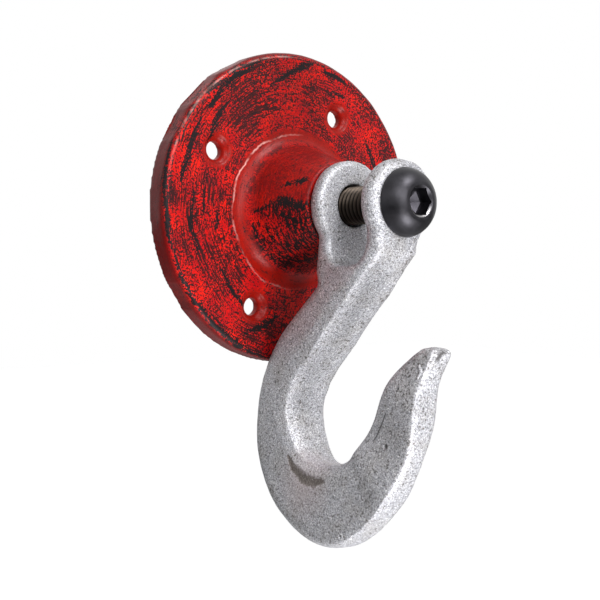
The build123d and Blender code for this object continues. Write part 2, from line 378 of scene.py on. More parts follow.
def forged_wander(place, normal):
    """Slow waves of a forging, its pits, and every stroke that lifts or sinks the surface."""
    wander = waves(place, FORGED_WAVES) + sum(pit(place, *each) for each in PITS)
    from_tip = (place - TIP).length
    if from_tip < TIP_REACH:
        wander += (1 - from_tip / TIP_REACH) * waves(place, TIP_WAVES)
    if from_tip < TIP_REACH + 3:
        wander += sum(lift * depth_in(strokes, place) for strokes, lift in TIP_LIFTS)
    wander += sum(lift * depth_in(strokes, place) for strokes, lift in LIFTS)
    return wander - CRESCENT_SUNK * min(1.0, 2 * depth_in(CRESCENT, place))


def ridged(place, normal):
    """Below the fork the bar's front corners move out towards square ones, most on the left."""
    below_fork = max(0.0, min(1.0, (FORK_END - place.z) / 8)) * max(0.0, min(1.0, -2 * normal.y))
    sideways = normal.x * cos(HANG) - normal.z * sin(HANG)
    share = LEFT_RIDGE if sideways < 0 else RIGHT_RIDGE
    sideways = abs(sideways)
    half_width = abs(place.x * cos(HANG) - place.z * sin(HANG))
    corner_radius = CORNER_SHARE * 2 * half_width
    flattest = max(sideways, (1 - min(1.0, sideways) ** 2) ** 0.5)
    return below_fork * share * corner_radius * (1 / flattest - 1)


hook = melted_copy("clevis_hook", "forged_hook", voxel=0.5, rounds=4)
uneven(hook, ridged)
PITS = [(hook.closest_point_on_mesh(Vector(middle) * MM)[1] / MM, radius, depth)
        for middle, radius, depth in PITS]
small_marks = (PITS, CRACK[0], CHIPPED_TIP[0], *BURR)
finer_near(hook, [spot for mark in small_marks for spot, *_ in mark], reach=1.8)
uneven(hook, forged_wander)


def dark_in(place):
    """How dark the crack, the chip at the tip and the pits are painted."""
    in_pits = max(1 - ((place - Vector(middle)).length / radius / 0.8) ** 2 for middle, radius, depth in PITS)
    return max(1.5 * depth_in(CRACK, place), 0.8 * depth_in(CHIPPED_TIP, place), in_pits, 0.0)


marked(hook, "worn_crescent", lambda place: min(1.0, 1.6 * depth_in(CRESCENT, place)))
marked(hook, "rubbed_halo", lambda place: max(0.0, 1 - (place - MIDDLE_OF_HALO).length / HALO_RADIUS))
marked(hook, "pitted", dark_in)

# %% [markdown]
# ## The screw
# The head and the core of the screw are turned on a lathe, so here they are a profile spun round the
# screw's axis. The profile has the sizes of an M12 button head screw, and the head's rounded side is one
# smooth curve from the thin edge to the small flat crown.

# %% Profile of the head and the core
SEAT = 60.6
HEAD_HEIGHT = 6.6
HEAD_RADIUS = 10.5
SCREW_LENGTH = 45.0
THREAD_RADIUS = 6.0
ROOT_RADIUS = 5.05
PITCH = 1.75
EDGE_HEIGHT = 0.8
EDGE_BEVEL = 0.25
CROWN_RADIUS = 5.7
FULLNESS = (9.4, 5.2)


def spun(profile, steps=96):
    """A closed solid, turned round the screw's axis from pairs of radius and height above the wall in mm."""
    solid = bmesh.new()
    rings = []
    for radius, height in profile:
        if radius == 0:
            rings.append([solid.verts.new((0, -height * MM, 0))])
            continue
        turn = [2 * pi * i / steps for i in range(steps)]
        rings.append([solid.verts.new((radius * MM * cos(a), -height * MM, radius * MM * sin(a)))
                      for a in turn])
    for low, high in zip(rings, rings[1:]):
        for i in range(steps):
            j = (i + 1) % steps
            corners = [low[i % len(low)], low[j % len(low)], high[j % len(high)], high[i % len(high)]]
            solid.faces.new(list(dict.fromkeys(corners)))
    bmesh.ops.recalc_face_normals(solid, faces=solid.faces)
    return solid


def as_piece(solid, name):
    """A bmesh as an object in the scene."""
    mesh = bpy.data.meshes.new(name)
    solid.to_mesh(mesh)
    solid.free()
    piece = bpy.data.objects.new(name, mesh)
    bpy.context.scene.collection.objects.link(piece)
    return piece


def dome(step):
    """A point of the head's rounded side, from its thin edge at 0 to the flat crown at 1."""
    start = Vector((HEAD_RADIUS, EDGE_HEIGHT))
    middle = Vector(FULLNESS)
    end = Vector((CROWN_RADIUS, HEAD_HEIGHT))
    return (1 - step) ** 2 * start + 2 * step * (1 - step) * middle + step ** 2 * end


edge = [(HEAD_RADIUS - EDGE_BEVEL, SEAT), (HEAD_RADIUS, SEAT + EDGE_BEVEL)]
side = [(p.x, SEAT + p.y) for p in (dome(i / 16) for i in range(17))]
profile = [(0, SEAT - SCREW_LENGTH), (ROOT_RADIUS, SEAT - SCREW_LENGTH), (ROOT_RADIUS, SEAT)]
profile += edge + side + [(0, SEAT + HEAD_HEIGHT)]
screw = as_piece(spun(profile), "socket_screw")
print("screw head of", 2 * HEAD_RADIUS, "mm on a core of", 2 * ROOT_RADIUS, "mm")

# %% [markdown]
# The hexagon socket is broached into the head after drilling. A hexagonal bar cuts it, a cone gives its
# chamfered mouth, and a blunt point is what the drill left in the floor.

# %% Cut the hexagon socket
SOCKET_FLATS = 8.0
SOCKET_DEPTH = 4.2
MOUTH = 9.8
MOUTH_SLOPE = tan(radians(35))
DRILL_SLOPE = tan(radians(30))
ABOVE = 2


def cut(piece, solid):
    """Take one solid out of a piece."""
    tool = as_piece(solid, "cutter")
    boolean = piece.modifiers.new("cut", "BOOLEAN")
    boolean.object = tool
    boolean.solver = "EXACT"
    result = bpy.data.meshes.new_from_object(piece.evaluated_get(bpy.context.evaluated_depsgraph_get()))
    piece.modifiers.clear()
    piece.data = result
    bpy.data.objects.remove(tool)


crown = SEAT + HEAD_HEIGHT
corner = SOCKET_FLATS / 2 / cos(pi / 6)
socket_floor = crown - SOCKET_DEPTH
cut(screw, spun([(0, socket_floor), (corner, socket_floor), (corner, crown + ABOVE), (0, crown + ABOVE)], 6))
mouth = MOUTH / 2 + 1
cut(screw, spun([(0, crown + (1 - mouth) * MOUTH_SLOPE), (mouth, crown + MOUTH_SLOPE), (0, crown + ABOVE)]))
drill = SOCKET_FLATS / 2 - 0.2
cut(screw, spun([(0, socket_floor - drill * DRILL_SLOPE), (drill, socket_floor + 0.02), (0, crown - 1)], 6))
print("socket cut, now", len(screw.data.polygons), "faces")

# %% [markdown]
# The thread follows a rule, so Geometry Nodes make it: a spiral as long as the screw, with one turn for
# each pitch, carries a flat-topped V. An M12 screw has a coarse thread of 1.75 mm. At its foot the V is a
# little narrower than the pitch, which leaves the flat of the core between two turns.

# %% The thread as a Geometry Nodes tree
# Half the width of the V at its foot and at its crest, as shares of the pitch.
HALF_FOOT = 0.45
HALF_CREST = 0.08
STEPS_PER_TURN = 60

tree = bpy.data.node_groups.new("Screw thread", "GeometryNodeTree")
tree.is_modifier = True
thread_sizes = {"Length": SCREW_LENGTH - 2 * PITCH, "Pitch": PITCH, "Root radius": ROOT_RADIUS,
                "Crest radius": THREAD_RADIUS}
for label, value in thread_sizes.items():
    socket = tree.interface.new_socket(label, in_out="INPUT", socket_type="NodeSocketFloat")
    socket.default_value = value * MM
tree.interface.new_socket("Finish", in_out="INPUT", socket_type="NodeSocketMaterial")
tree.interface.new_socket("Geometry", in_out="OUTPUT", socket_type="NodeSocketGeometry")
given = add(tree, "NodeGroupInput").outputs
turns = add(tree, "ShaderNodeMath", {0: given["Length"], 1: given["Pitch"]}, operation="DIVIDE")
spiral = add(tree, "GeometryNodeCurveSpiral", {
    "Resolution": STEPS_PER_TURN, "Rotations": turns, "Start Radius": given["Root radius"],
    "End Radius": given["Root radius"], "Height": given["Length"]})
upright = add(tree, "GeometryNodeSetCurveNormal", {0: spiral}, mode="Z_UP")
# The first axis of the V's section points inwards on this spiral, so its height outwards is negative.
height = add(tree, "ShaderNodeMath", {0: given["Root radius"], 1: given["Crest radius"]},
             operation="SUBTRACT")
foot = add(tree, "ShaderNodeMath", {0: given["Pitch"], 1: HALF_FOOT}, operation="MULTIPLY")
crest = add(tree, "ShaderNodeMath", {0: given["Pitch"], 1: HALF_CREST}, operation="MULTIPLY")
minus_foot = add(tree, "ShaderNodeMath", {0: foot, 1: -1.0}, operation="MULTIPLY")
minus_crest = add(tree, "ShaderNodeMath", {0: crest, 1: -1.0}, operation="MULTIPLY")
section = add(tree, "GeometryNodeCurvePrimitiveQuadrilateral", {
    "Point 1": add(tree, "ShaderNodeCombineXYZ", {1: minus_foot}),
    "Point 2": add(tree, "ShaderNodeCombineXYZ", {0: height, 1: minus_crest}),
    "Point 3": add(tree, "ShaderNodeCombineXYZ", {0: height, 1: crest}),
    "Point 4": add(tree, "ShaderNodeCombineXYZ", {1: foot})}, mode="POINTS")
swept = add(tree, "GeometryNodeCurveToMesh", {"Curve": upright, "Profile Curve": section, "Fill Caps": True})
whole = add(tree, "GeometryNodeRealizeInstances", {0: swept})
finish = add(tree, "GeometryNodeSetMaterial", {0: whole, "Material": given["Finish"]})
add(tree, "NodeGroupOutput", {0: finish})
print("thread tree has", len(tree.nodes), "nodes")

# %% [markdown]
# ## Black oxide steel
# Steel dipped in a hot black oxide bath gets a thin, oily, dark grey skin on bare metal. So it is metallic
# and very dark, and satin rather than glossy: the eye sees one soft highlight and no mirror. The oil dries
# in faint clouds about 3 mm wide. On the thread the skin is rubbed off the crests, which are browner and
# lighter, and the roots are painted near black as painted shade. The drilled floor of the socket is greyer,
# and the lower edge of its mouth carries a painted highlight.

# %% Black oxide steel
OIL_CLOUD = 3.0
OXIDE_GRAIN = 0.5
MOUTH_EDGE_RADIUS = 4.45


def material(name):
    """A new material with an empty tree, its shader, and the place on the surface in millimetres."""
    made = bpy.data.materials.new(name)
    made.use_nodes = True
    made.node_tree.nodes.clear()
    shader = add(made.node_tree, "ShaderNodeBsdfPrincipled")
    add(made.node_tree, "ShaderNodeOutputMaterial", {0: shader})
    place = add(made.node_tree, "ShaderNodeTexCoord").outputs["Object"]
    in_mm = add(made.node_tree, "ShaderNodeVectorMath", {0: place, "Scale": 1 / MM}, operation="SCALE")
    return made, made.node_tree, shader, in_mm


black, tree, shader, place = material("black oxide steel")
cloudy = add(tree, "ShaderNodeTexNoise",
             {"Vector": place, "Scale": 1 / OIL_CLOUD, "Detail": 3.0, "Roughness": 0.6})
grain = add(tree, "ShaderNodeTexNoise", {"Vector": place, "Scale": 1 / OXIDE_GRAIN, "Detail": 2.0})
split = add(tree, "ShaderNodeSeparateXYZ", {0: place}).outputs
flat = add(tree, "ShaderNodeCombineXYZ", {0: split[0], 2: split[2]})
radius = add(tree, "ShaderNodeVectorMath", {0: flat}, operation="LENGTH").outputs["Value"]
behind_head = add(tree, "ShaderNodeMapRange", {0: split[1], 1: -SEAT, 2: -SEAT + 0.2})
crest = add(tree, "ShaderNodeMapRange", {0: radius, 1: ROOT_RADIUS + 0.25, 2: THREAD_RADIUS - 0.1},
            interpolation_type="SMOOTHSTEP")
head_skin = add(tree, "ShaderNodeMix", {0: cloudy, 6: linear("#2B2A2D"), 7: linear("#444347")},
                data_type="RGBA")
# Painted shade: the thread's roots are near black; its rubbed crests are browner and lighter.
thread_skin = add(tree, "ShaderNodeMix", {0: crest, 6: linear("#14110F"), 7: linear("#3F3832")},
                  data_type="RGBA")
skin = add(tree, "ShaderNodeMix", {0: behind_head, 6: head_skin.outputs[2], 7: thread_skin.outputs[2]},
           data_type="RGBA")

# The floor of the socket: between its walls, at its depth or deeper, and still in the head.
in_socket = add(tree, "ShaderNodeMapRange", {0: radius, 1: SOCKET_FLATS / 2 + 0.2, 2: SOCKET_FLATS / 2})
at_floor = add(tree, "ShaderNodeMapRange", {0: split[1], 1: -socket_floor - 0.2, 2: -socket_floor + 0.05})
drilled = add(tree, "ShaderNodeMath", {0: in_socket, 1: at_floor}, operation="MULTIPLY")
in_head = add(tree, "ShaderNodeMapRange", {0: split[1], 1: -SEAT + 0.2, 2: -SEAT})
drilled = add(tree, "ShaderNodeMath", {0: drilled, 1: in_head}, operation="MULTIPLY")
skin = add(tree, "ShaderNodeMix", {0: drilled, 6: skin.outputs[2], 7: linear("#4E4C52")}, data_type="RGBA")

# A painted highlight on the lower front edge of the socket's mouth.
mouth_highlight = add(tree, "ShaderNodeMath", {0: radius, 1: MOUTH_EDGE_RADIUS}, operation="SUBTRACT")
mouth_highlight = add(tree, "ShaderNodeMath", {0: mouth_highlight}, operation="ABSOLUTE")
mouth_highlight = add(tree, "ShaderNodeMapRange", {0: mouth_highlight, 1: 0.35, 2: 0.1})
lower_half = add(tree, "ShaderNodeMapRange", {0: split[2], 1: -1.0, 2: -2.5, 3: 0.0, 4: 0.8})
mouth_highlight = add(tree, "ShaderNodeMath", {0: mouth_highlight, 1: lower_half}, operation="MULTIPLY")
front_only = add(tree, "ShaderNodeMapRange", {0: split[1], 1: 1.0 - crown, 2: 0.7 - crown})
mouth_highlight = add(tree, "ShaderNodeMath", {0: mouth_highlight, 1: front_only}, operation="MULTIPLY")
skin = add(tree, "ShaderNodeMix", {0: mouth_highlight, 6: skin.outputs[2], 7: linear("#A9A7A8")}, data_type="RGBA")
tree.links.new(skin.outputs[2], shader.inputs["Base Color"])
satin = add(tree, "ShaderNodeMapRange", {0: cloudy, 1: 0.35, 2: 0.65, 3: 0.34, 4: 0.46})
tree.links.new(satin.outputs[0], shader.inputs["Roughness"])
shader.inputs["Metallic"].default_value = 1.0
bump = add(tree, "ShaderNodeBump", {"Strength": 0.3, "Distance": 0.02 * MM, "Height": grain})
tree.links.new(bump.outputs[0], shader.inputs["Normal"])
print("black oxide has", len(tree.nodes), "nodes")

# %% [markdown]
# The tree now grows a real mesh. It starts one pitch below the head, runs along the screw and stops one
# pitch before its end. It is laid along the screw's axis and becomes one piece with the head and the core.

# %% Grow the thread and join it to the screw
SHARPER_THAN = 32

host = bpy.data.objects.new("thread", bpy.data.meshes.new("thread"))
bpy.context.scene.collection.objects.link(host)
thread = host.modifiers.new("thread", "NODES")
thread.node_group = bpy.data.node_groups["Screw thread"]
sizes = {label: value * MM for label, value in thread_sizes.items()} | {"Finish": black}
for item in thread.node_group.interface.items_tree:
    if item.name in sizes and item.in_out == "INPUT":
        thread[item.identifier] = sizes[item.name]
grown = bpy.data.meshes.new_from_object(host.evaluated_get(bpy.context.evaluated_depsgraph_get()))
bpy.data.objects.remove(host)
grown.transform(Matrix.Translation((0, -(SEAT - PITCH) * MM, 0)) @ Matrix.Rotation(-pi / 2, 4, "X"))
print("thread runs from", round(min(v.co.y for v in grown.vertices) / MM, 2), "to",
      round(max(v.co.y for v in grown.vertices) / MM, 2), "mm, widest radius",
      round(max(hypot(v.co.x, v.co.z) for v in grown.vertices) / MM, 2))
both = bmesh.new()
both.from_mesh(screw.data)
both.from_mesh(grown)
both.to_mesh(screw.data)
both.free()
screw.data.materials.clear()
screw.data.materials.append(black)
screw.data.polygons.foreach_set("material_index", [0] * len(screw.data.polygons))
screw.data.polygons.foreach_set("use_smooth", [True] * len(screw.data.polygons))
screw.data.set_sharp_from_angle(angle=radians(SHARPER_THAN))

# %% [markdown]
# ## Old red paint
# The plate was painted black, then red, and the red was rubbed through by hand to look old. Three things
# decide where black shows: a speckle where the rubbing only reached the highest grains of the casting, long
# thin streaks where the wire wool ran round the plate, and the strokes drawn above. Slow patches make each of
# them denser here and thinner there, so that no two parts of the plate look alike. The real specks are down
# to 0.2 mm wide. Here they are 0.65 mm, because finer ones would blur to a flat brown at this distance.

# %% Where the paint lies: round the plate, up the boss, in the hollows
STREAK_WIDTH = 0.5
STREAKS_ROUND = 5.0
WOBBLE = 4.0
WOBBLE_WIDTH = 16
SPECK = 0.65
PATCH = 12.0

red, tree, shader, place = material("rubbed red paint")
split = add(tree, "ShaderNodeSeparateXYZ", {0: place}).outputs
flat = add(tree, "ShaderNodeCombineXYZ", {0: split[0], 2: split[2]})
radius = add(tree, "ShaderNodeVectorMath", {0: flat}, operation="LENGTH").outputs["Value"]
shelter_and_shade = add(tree, "ShaderNodeAttribute", attribute_name="sheltered").outputs["Fac"]
rim_side = add(tree, "ShaderNodeMapRange", {0: radius, 1: PLATE_RADIUS - 1.1, 2: PLATE_RADIUS - 0.3},
               interpolation_type="SMOOTHSTEP")
rim_inside = add(tree, "ShaderNodeMapRange", {0: radius, 1: PLATE_RADIUS - 3.5, 2: PLATE_RADIUS - 1.7},
                 interpolation_type="SMOOTHSTEP")
rim_edge = add(tree, "ShaderNodeMath", {0: rim_inside, 1: rim_side}, operation="SUBTRACT", use_clamp=True)

# Streaks follow a circle round the axis, with a slow wobble so that they cross each other here and there.
spoke = add(tree, "ShaderNodeVectorMath", {0: flat}, operation="NORMALIZE")
around = add(tree, "ShaderNodeVectorMath", {0: spoke, "Scale": STREAKS_ROUND}, operation="SCALE")
wobble = add(tree, "ShaderNodeTexNoise", {"Vector": place, "Scale": 1 / WOBBLE_WIDTH, "Detail": 1.0})
climb = add(tree, "ShaderNodeMath", {0: radius, 1: split[1]}, operation="SUBTRACT")
swung = add(tree, "ShaderNodeMath", {0: wobble, 1: WOBBLE, 2: climb}, operation="MULTIPLY_ADD")
lane = add(tree, "ShaderNodeMath", {0: swung, 1: 1 / STREAK_WIDTH}, operation="MULTIPLY")
across = add(tree, "ShaderNodeCombineXYZ", {1: lane})
brushed = add(tree, "ShaderNodeVectorMath", {0: around, 1: across}, operation="ADD")
streaks = add(tree, "ShaderNodeTexNoise", {"Vector": brushed, "Scale": 1.0, "Detail": 4.0, "Roughness": 0.7})
patches = add(tree, "ShaderNodeTexNoise", {"Vector": place, "Scale": 1 / PATCH, "Detail": 2.0})
other_patches = add(tree, "ShaderNodeTexNoise",
                    {"Vector": place, "Scale": 1 / PATCH, "Detail": 2.0, "Distortion": 1.0})
speckle = add(tree, "ShaderNodeTexNoise",
              {"Vector": place, "Scale": 1 / SPECK, "Detail": 3.0, "Roughness": 0.7})
# This attribute holds the strokes and the painted shade on the lower half of the boss.
strokes = add(tree, "ShaderNodeAttribute", attribute_name="rubbed_through_and_shade").outputs["Fac"]

# %% [markdown]
# Each noise turns black above a cut. The patches, the strokes and the place on the plate lift or lower the
# noise before it meets its cut: the photo has more specks on the right, and fewer streaks at the top and at
# the bottom. In the sheltered parts a quarter of the light rubbing is left.

# %% Where the black shows
SPECK_CUT = (0.505, 0.54)
STREAK_CUT = (0.525, 0.56)
STROKE_CUT = (1.13, 1.20)
EDGE_CUT = (1.15, 1.22)
STROKE_WEIGHT = 0.40
EDGE_WEIGHT = 0.20
LIGHT_RUB_SHARE = 0.95
SHELTERED_SHARE = 0.25

speck_lift = add(tree, "ShaderNodeMapRange", {0: patches, 1: 0.3, 2: 0.7, 3: -0.045, 4: 0.07})
more_on_right = add(tree, "ShaderNodeMapRange", {0: split[0], 1: 10.0, 2: 34.0, 3: 0.0, 4: 0.05})
speck_lift = add(tree, "ShaderNodeMath", {0: speck_lift, 1: more_on_right}, operation="ADD")
specked = add(tree, "ShaderNodeMath", {0: speckle, 1: speck_lift}, operation="ADD")
specked = add(tree, "ShaderNodeMapRange", {0: specked, 1: SPECK_CUT[0], 2: SPECK_CUT[1]},
              interpolation_type="SMOOTHSTEP")
streak_lift = add(tree, "ShaderNodeMapRange", {0: other_patches, 1: 0.35, 2: 0.65, 3: -0.06, 4: 0.07})
less_on_top = add(tree, "ShaderNodeMapRange", {0: split[2], 1: 8.0, 2: 40.0, 3: 0.006, 4: -0.022})
less_below = add(tree, "ShaderNodeMapRange", {0: split[2], 1: -10.0, 2: -28.0, 3: 0.0, 4: -0.03})
streak_lift = add(tree, "ShaderNodeMath", {0: streak_lift, 1: less_below}, operation="ADD")
streak_lift = add(tree, "ShaderNodeMath", {0: streak_lift, 1: less_on_top}, operation="ADD")
streaked = add(tree, "ShaderNodeMath", {0: streaks, 1: streak_lift}, operation="ADD")
streaked = add(tree, "ShaderNodeMapRange", {0: streaked, 1: STREAK_CUT[0], 2: STREAK_CUT[1]},
               interpolation_type="SMOOTHSTEP")
ragged = add(tree, "ShaderNodeMath", {0: speckle, 1: streaks}, operation="ADD")
through = add(tree, "ShaderNodeMath", {0: strokes, 1: STROKE_WEIGHT, 2: ragged}, operation="MULTIPLY_ADD")
through = add(tree, "ShaderNodeMapRange", {0: through, 1: STROKE_CUT[0], 2: STROKE_CUT[1]},
              interpolation_type="SMOOTHSTEP")
edge_worn = add(tree, "ShaderNodeMath", {0: rim_edge, 1: EDGE_WEIGHT, 2: ragged}, operation="MULTIPLY_ADD")
edge_worn = add(tree, "ShaderNodeMapRange", {0: edge_worn, 1: EDGE_CUT[0], 2: EDGE_CUT[1]},
                interpolation_type="SMOOTHSTEP")
light_rub = add(tree, "ShaderNodeMath", {0: specked, 1: streaked}, operation="MAXIMUM")
sheltered = add(tree, "ShaderNodeMath", {0: shelter_and_shade, 1: rim_side}, operation="MAXIMUM")
exposed = add(tree, "ShaderNodeMapRange", {0: sheltered, 3: 1.0, 4: SHELTERED_SHARE})
light_rub = add(tree, "ShaderNodeMath", {0: light_rub, 1: exposed}, operation="MULTIPLY")
light_rub = add(tree, "ShaderNodeMath", {0: light_rub, 1: LIGHT_RUB_SHARE}, operation="MULTIPLY")
deep_rub = add(tree, "ShaderNodeMath", {0: through, 1: edge_worn}, operation="MAXIMUM")
bare = add(tree, "ShaderNodeMath", {0: light_rub, 1: deep_rub}, operation="MAXIMUM")
print("red paint has", len(tree.nodes), "nodes for its wear")

# %% [markdown]
# The red itself is an old enamel: two reds a shade apart in clouds of 5 mm. It is painted a deeper red, as
# painted shade, in the sheltered places and on the side of the rim. It is hardly glossy, and rougher where
# the black shows. Its lumps are the thick drops of the paint, 1.6 mm wide, and the bare parts lie a coat
# lower. Two thin, broken, pale lines are painted highlights: where the hollow begins, and at the upper left
# of the rim.

# %% The colour, gloss and relief of the red paint
LUMP = 1.6
CLOUD = 5.0
HOLLOW_RADIUS = 27.1
RIM_HIGHLIGHT_RADIUS = 51.2
PAINT_THICKNESS = 0.12

lumps = add(tree, "ShaderNodeTexNoise", {"Vector": place, "Scale": 1 / LUMP, "Detail": 3.0})
tint = add(tree, "ShaderNodeTexNoise", {"Vector": place, "Scale": 1 / CLOUD, "Detail": 3.0, "Roughness": 0.6})
tint = add(tree, "ShaderNodeMapRange", {0: tint, 1: 0.35, 2: 0.65})
coat = add(tree, "ShaderNodeMix", {0: tint, 6: linear("#D41C10"), 7: linear("#B00E12")},
           data_type="RGBA").outputs[2]
# Painted shade: the sheltered places (the hollow, the countersinks, the back and the top of the boss) are a
# deeper red.
coat = add(tree, "ShaderNodeMix", {0: shelter_and_shade, 6: coat, 7: linear("#9A140A")}, data_type="RGBA").outputs[2]
# Painted shade: the side of the rim is a darker red.
coat = add(tree, "ShaderNodeMix", {0: rim_side, 6: coat, 7: linear("#74100F")}, data_type="RGBA").outputs[2]
colour = add(tree, "ShaderNodeMix", {0: bare, 6: coat, 7: linear("#150F11")}, data_type="RGBA").outputs[2]

# How near a point is to each painted highlight line. The one round the hollow is a little flattened at the
# top, and it wavers with the patches and the lumps of the paint.
squashed = add(tree, "ShaderNodeMath", {0: split[2], 1: 0.0}, operation="MAXIMUM")
squashed = add(tree, "ShaderNodeMath", {0: squashed, 1: 0.07, 2: radius}, operation="MULTIPLY_ADD")
wavering = add(tree, "ShaderNodeMath", {0: patches, 1: 3.0, 2: squashed}, operation="MULTIPLY_ADD")
wavering = add(tree, "ShaderNodeMath", {0: lumps, 1: 1.2, 2: wavering}, operation="MULTIPLY_ADD")
from_hollow = add(tree, "ShaderNodeMath", {0: wavering, 1: HOLLOW_RADIUS + 2.1}, operation="SUBTRACT")
from_hollow = add(tree, "ShaderNodeMath", {0: from_hollow}, operation="ABSOLUTE")
on_left = add(tree, "ShaderNodeMapRange", {0: split[0], 1: 3.0, 2: -9.0})
from_rim = add(tree, "ShaderNodeMath", {0: radius, 1: RIM_HIGHLIGHT_RADIUS}, operation="SUBTRACT")
from_rim = add(tree, "ShaderNodeMath", {0: from_rim}, operation="ABSOLUTE")
on_top = add(tree, "ShaderNodeMapRange", {0: split[2], 1: 12.0, 2: 22.0})
faint_below = add(tree, "ShaderNodeMapRange", {0: split[2], 1: -10.0, 2: 10.0, 3: 0.35, 4: 1.0})
hollow_highlight = add(tree, "ShaderNodeMapRange", {0: from_hollow, 1: 0.45, 2: 0.1})
hollow_highlight = add(tree, "ShaderNodeMath", {0: hollow_highlight, 1: faint_below}, operation="MULTIPLY")
rim_highlight = add(tree, "ShaderNodeMapRange", {0: from_rim, 1: 0.40, 2: 0.1, 3: 0.0, 4: 0.7})
rim_highlight = add(tree, "ShaderNodeMath", {0: rim_highlight, 1: on_top}, operation="MULTIPLY")
painted_highlights = add(tree, "ShaderNodeMath", {0: hollow_highlight, 1: rim_highlight}, operation="MAXIMUM")
painted_highlights = add(tree, "ShaderNodeMath", {0: painted_highlights, 1: on_left}, operation="MULTIPLY")
broken = add(tree, "ShaderNodeMapRange", {0: tint, 1: 0.15, 2: 0.85, 3: 0.05, 4: 0.75})
painted_highlights = add(tree, "ShaderNodeMath", {0: painted_highlights, 1: broken}, operation="MULTIPLY")
in_front = add(tree, "ShaderNodeMapRange", {0: split[1], 1: BACK_HALF, 2: BACK_HALF - 1})
painted_highlights = add(tree, "ShaderNodeMath", {0: painted_highlights, 1: in_front}, operation="MULTIPLY")
# The pale colour along both lines is a painted highlight.
colour = add(tree, "ShaderNodeMix", {0: painted_highlights, 6: colour, 7: linear("#E9B4AC")}, data_type="RGBA").outputs[2]
tree.links.new(colour, shader.inputs["Base Color"])
gloss = add(tree, "ShaderNodeMapRange", {0: bare, 3: 0.30, 4: 0.48})
tree.links.new(gloss.outputs[0], shader.inputs["Roughness"])
shader.inputs["Specular IOR Level"].default_value = 0.16
missing = add(tree, "ShaderNodeMath", {0: bare, 1: -0.25, 2: lumps}, operation="MULTIPLY_ADD")
bump = add(tree, "ShaderNodeBump", {"Strength": 0.5, "Distance": PAINT_THICKNESS * MM, "Height": missing})
tree.links.new(bump.outputs[0], shader.inputs["Normal"])
plate.data.materials.append(red)
print("red paint has", len(tree.nodes), "nodes")

# %% [markdown]
# ## Grainy silver paint
# The silver is a paint full of aluminium flakes, sprayed thick over a rough forging. The flakes lie at all
# angles, so it scatters light much as a matt grey does. A few flakes are painted nearly white, as painted
# glints. The grain is the scale of the forging under it, a little under half a millimetre. Real flakes are
# far too small to see one by one, so they are drawn 0.3 mm wide. The rest is age: brownish dirt, dark dots
# where scale fell off, a reddish halo, and the bare bronze-grey steel of the worn crescent.

# %% Silver paint with its grain and its stains
FORGED_GRAIN = 0.42
FLAKE = 0.3
DIRT = 8.0
DOT = 0.8
GRAIN_HEIGHT = 0.12

silver, tree, shader, place = material("grainy silver paint")

# The grain of the forging makes the paint lighter and darker, and here and there a flake is a painted glint.
grain = add(tree, "ShaderNodeTexNoise",
            {"Vector": place, "Scale": 1 / FORGED_GRAIN, "Detail": 2.0, "Roughness": 0.6})
flakes = add(tree, "ShaderNodeTexVoronoi", {"Vector": place, "Scale": 1 / FLAKE}).outputs["Color"]
flake = add(tree, "ShaderNodeSeparateColor", {0: flakes})
dirt = add(tree, "ShaderNodeTexNoise", {"Vector": place, "Scale": 1 / DIRT, "Detail": 3.0, "Roughness": 0.6})
specks = add(tree, "ShaderNodeTexNoise",
             {"Vector": place, "Scale": 1 / DOT, "Detail": 3.0, "Roughness": 0.65})
tone = add(tree, "ShaderNodeMapRange", {0: grain, 1: 0.38, 2: 0.62})
coat = add(tree, "ShaderNodeMix", {0: tone, 6: linear("#828288"), 7: linear("#DBDBE1")},
           data_type="RGBA").outputs[2]
# Painted glints: a few flakes are drawn nearly white.
painted_glint = add(tree, "ShaderNodeMapRange", {0: flake, 1: 0.91, 2: 0.95})
coat = add(tree, "ShaderNodeMix", {0: painted_glint, 6: coat, 7: linear("#F2F2F4")}, data_type="RGBA").outputs[2]

# Age: brownish dirt, dark dots that are denser where it is dirty, and the reddish halo in the bowl.
dirty = add(tree, "ShaderNodeMapRange", {0: dirt, 1: 0.45, 2: 0.75, 3: 0.0, 4: 0.35})
coat = add(tree, "ShaderNodeMix", {0: dirty, 6: coat, 7: linear("#A39C93")}, data_type="RGBA").outputs[2]
dotted = add(tree, "ShaderNodeMath", {0: dirt, 1: 0.18, 2: specks}, operation="MULTIPLY_ADD")
dotted = add(tree, "ShaderNodeMapRange", {0: dotted, 1: 0.68, 2: 0.72}, interpolation_type="SMOOTHSTEP")
coat = add(tree, "ShaderNodeMix", {0: dotted, 6: coat, 7: linear("#5A5857")}, data_type="RGBA").outputs[2]
halo = add(tree, "ShaderNodeAttribute", attribute_name="rubbed_halo").outputs["Fac"]
halo = add(tree, "ShaderNodeMath", {0: halo, 1: 0.45}, operation="MULTIPLY")
coat = add(tree, "ShaderNodeMix", {0: halo, 6: coat, 7: linear("#BFA6A4")}, data_type="RGBA").outputs[2]

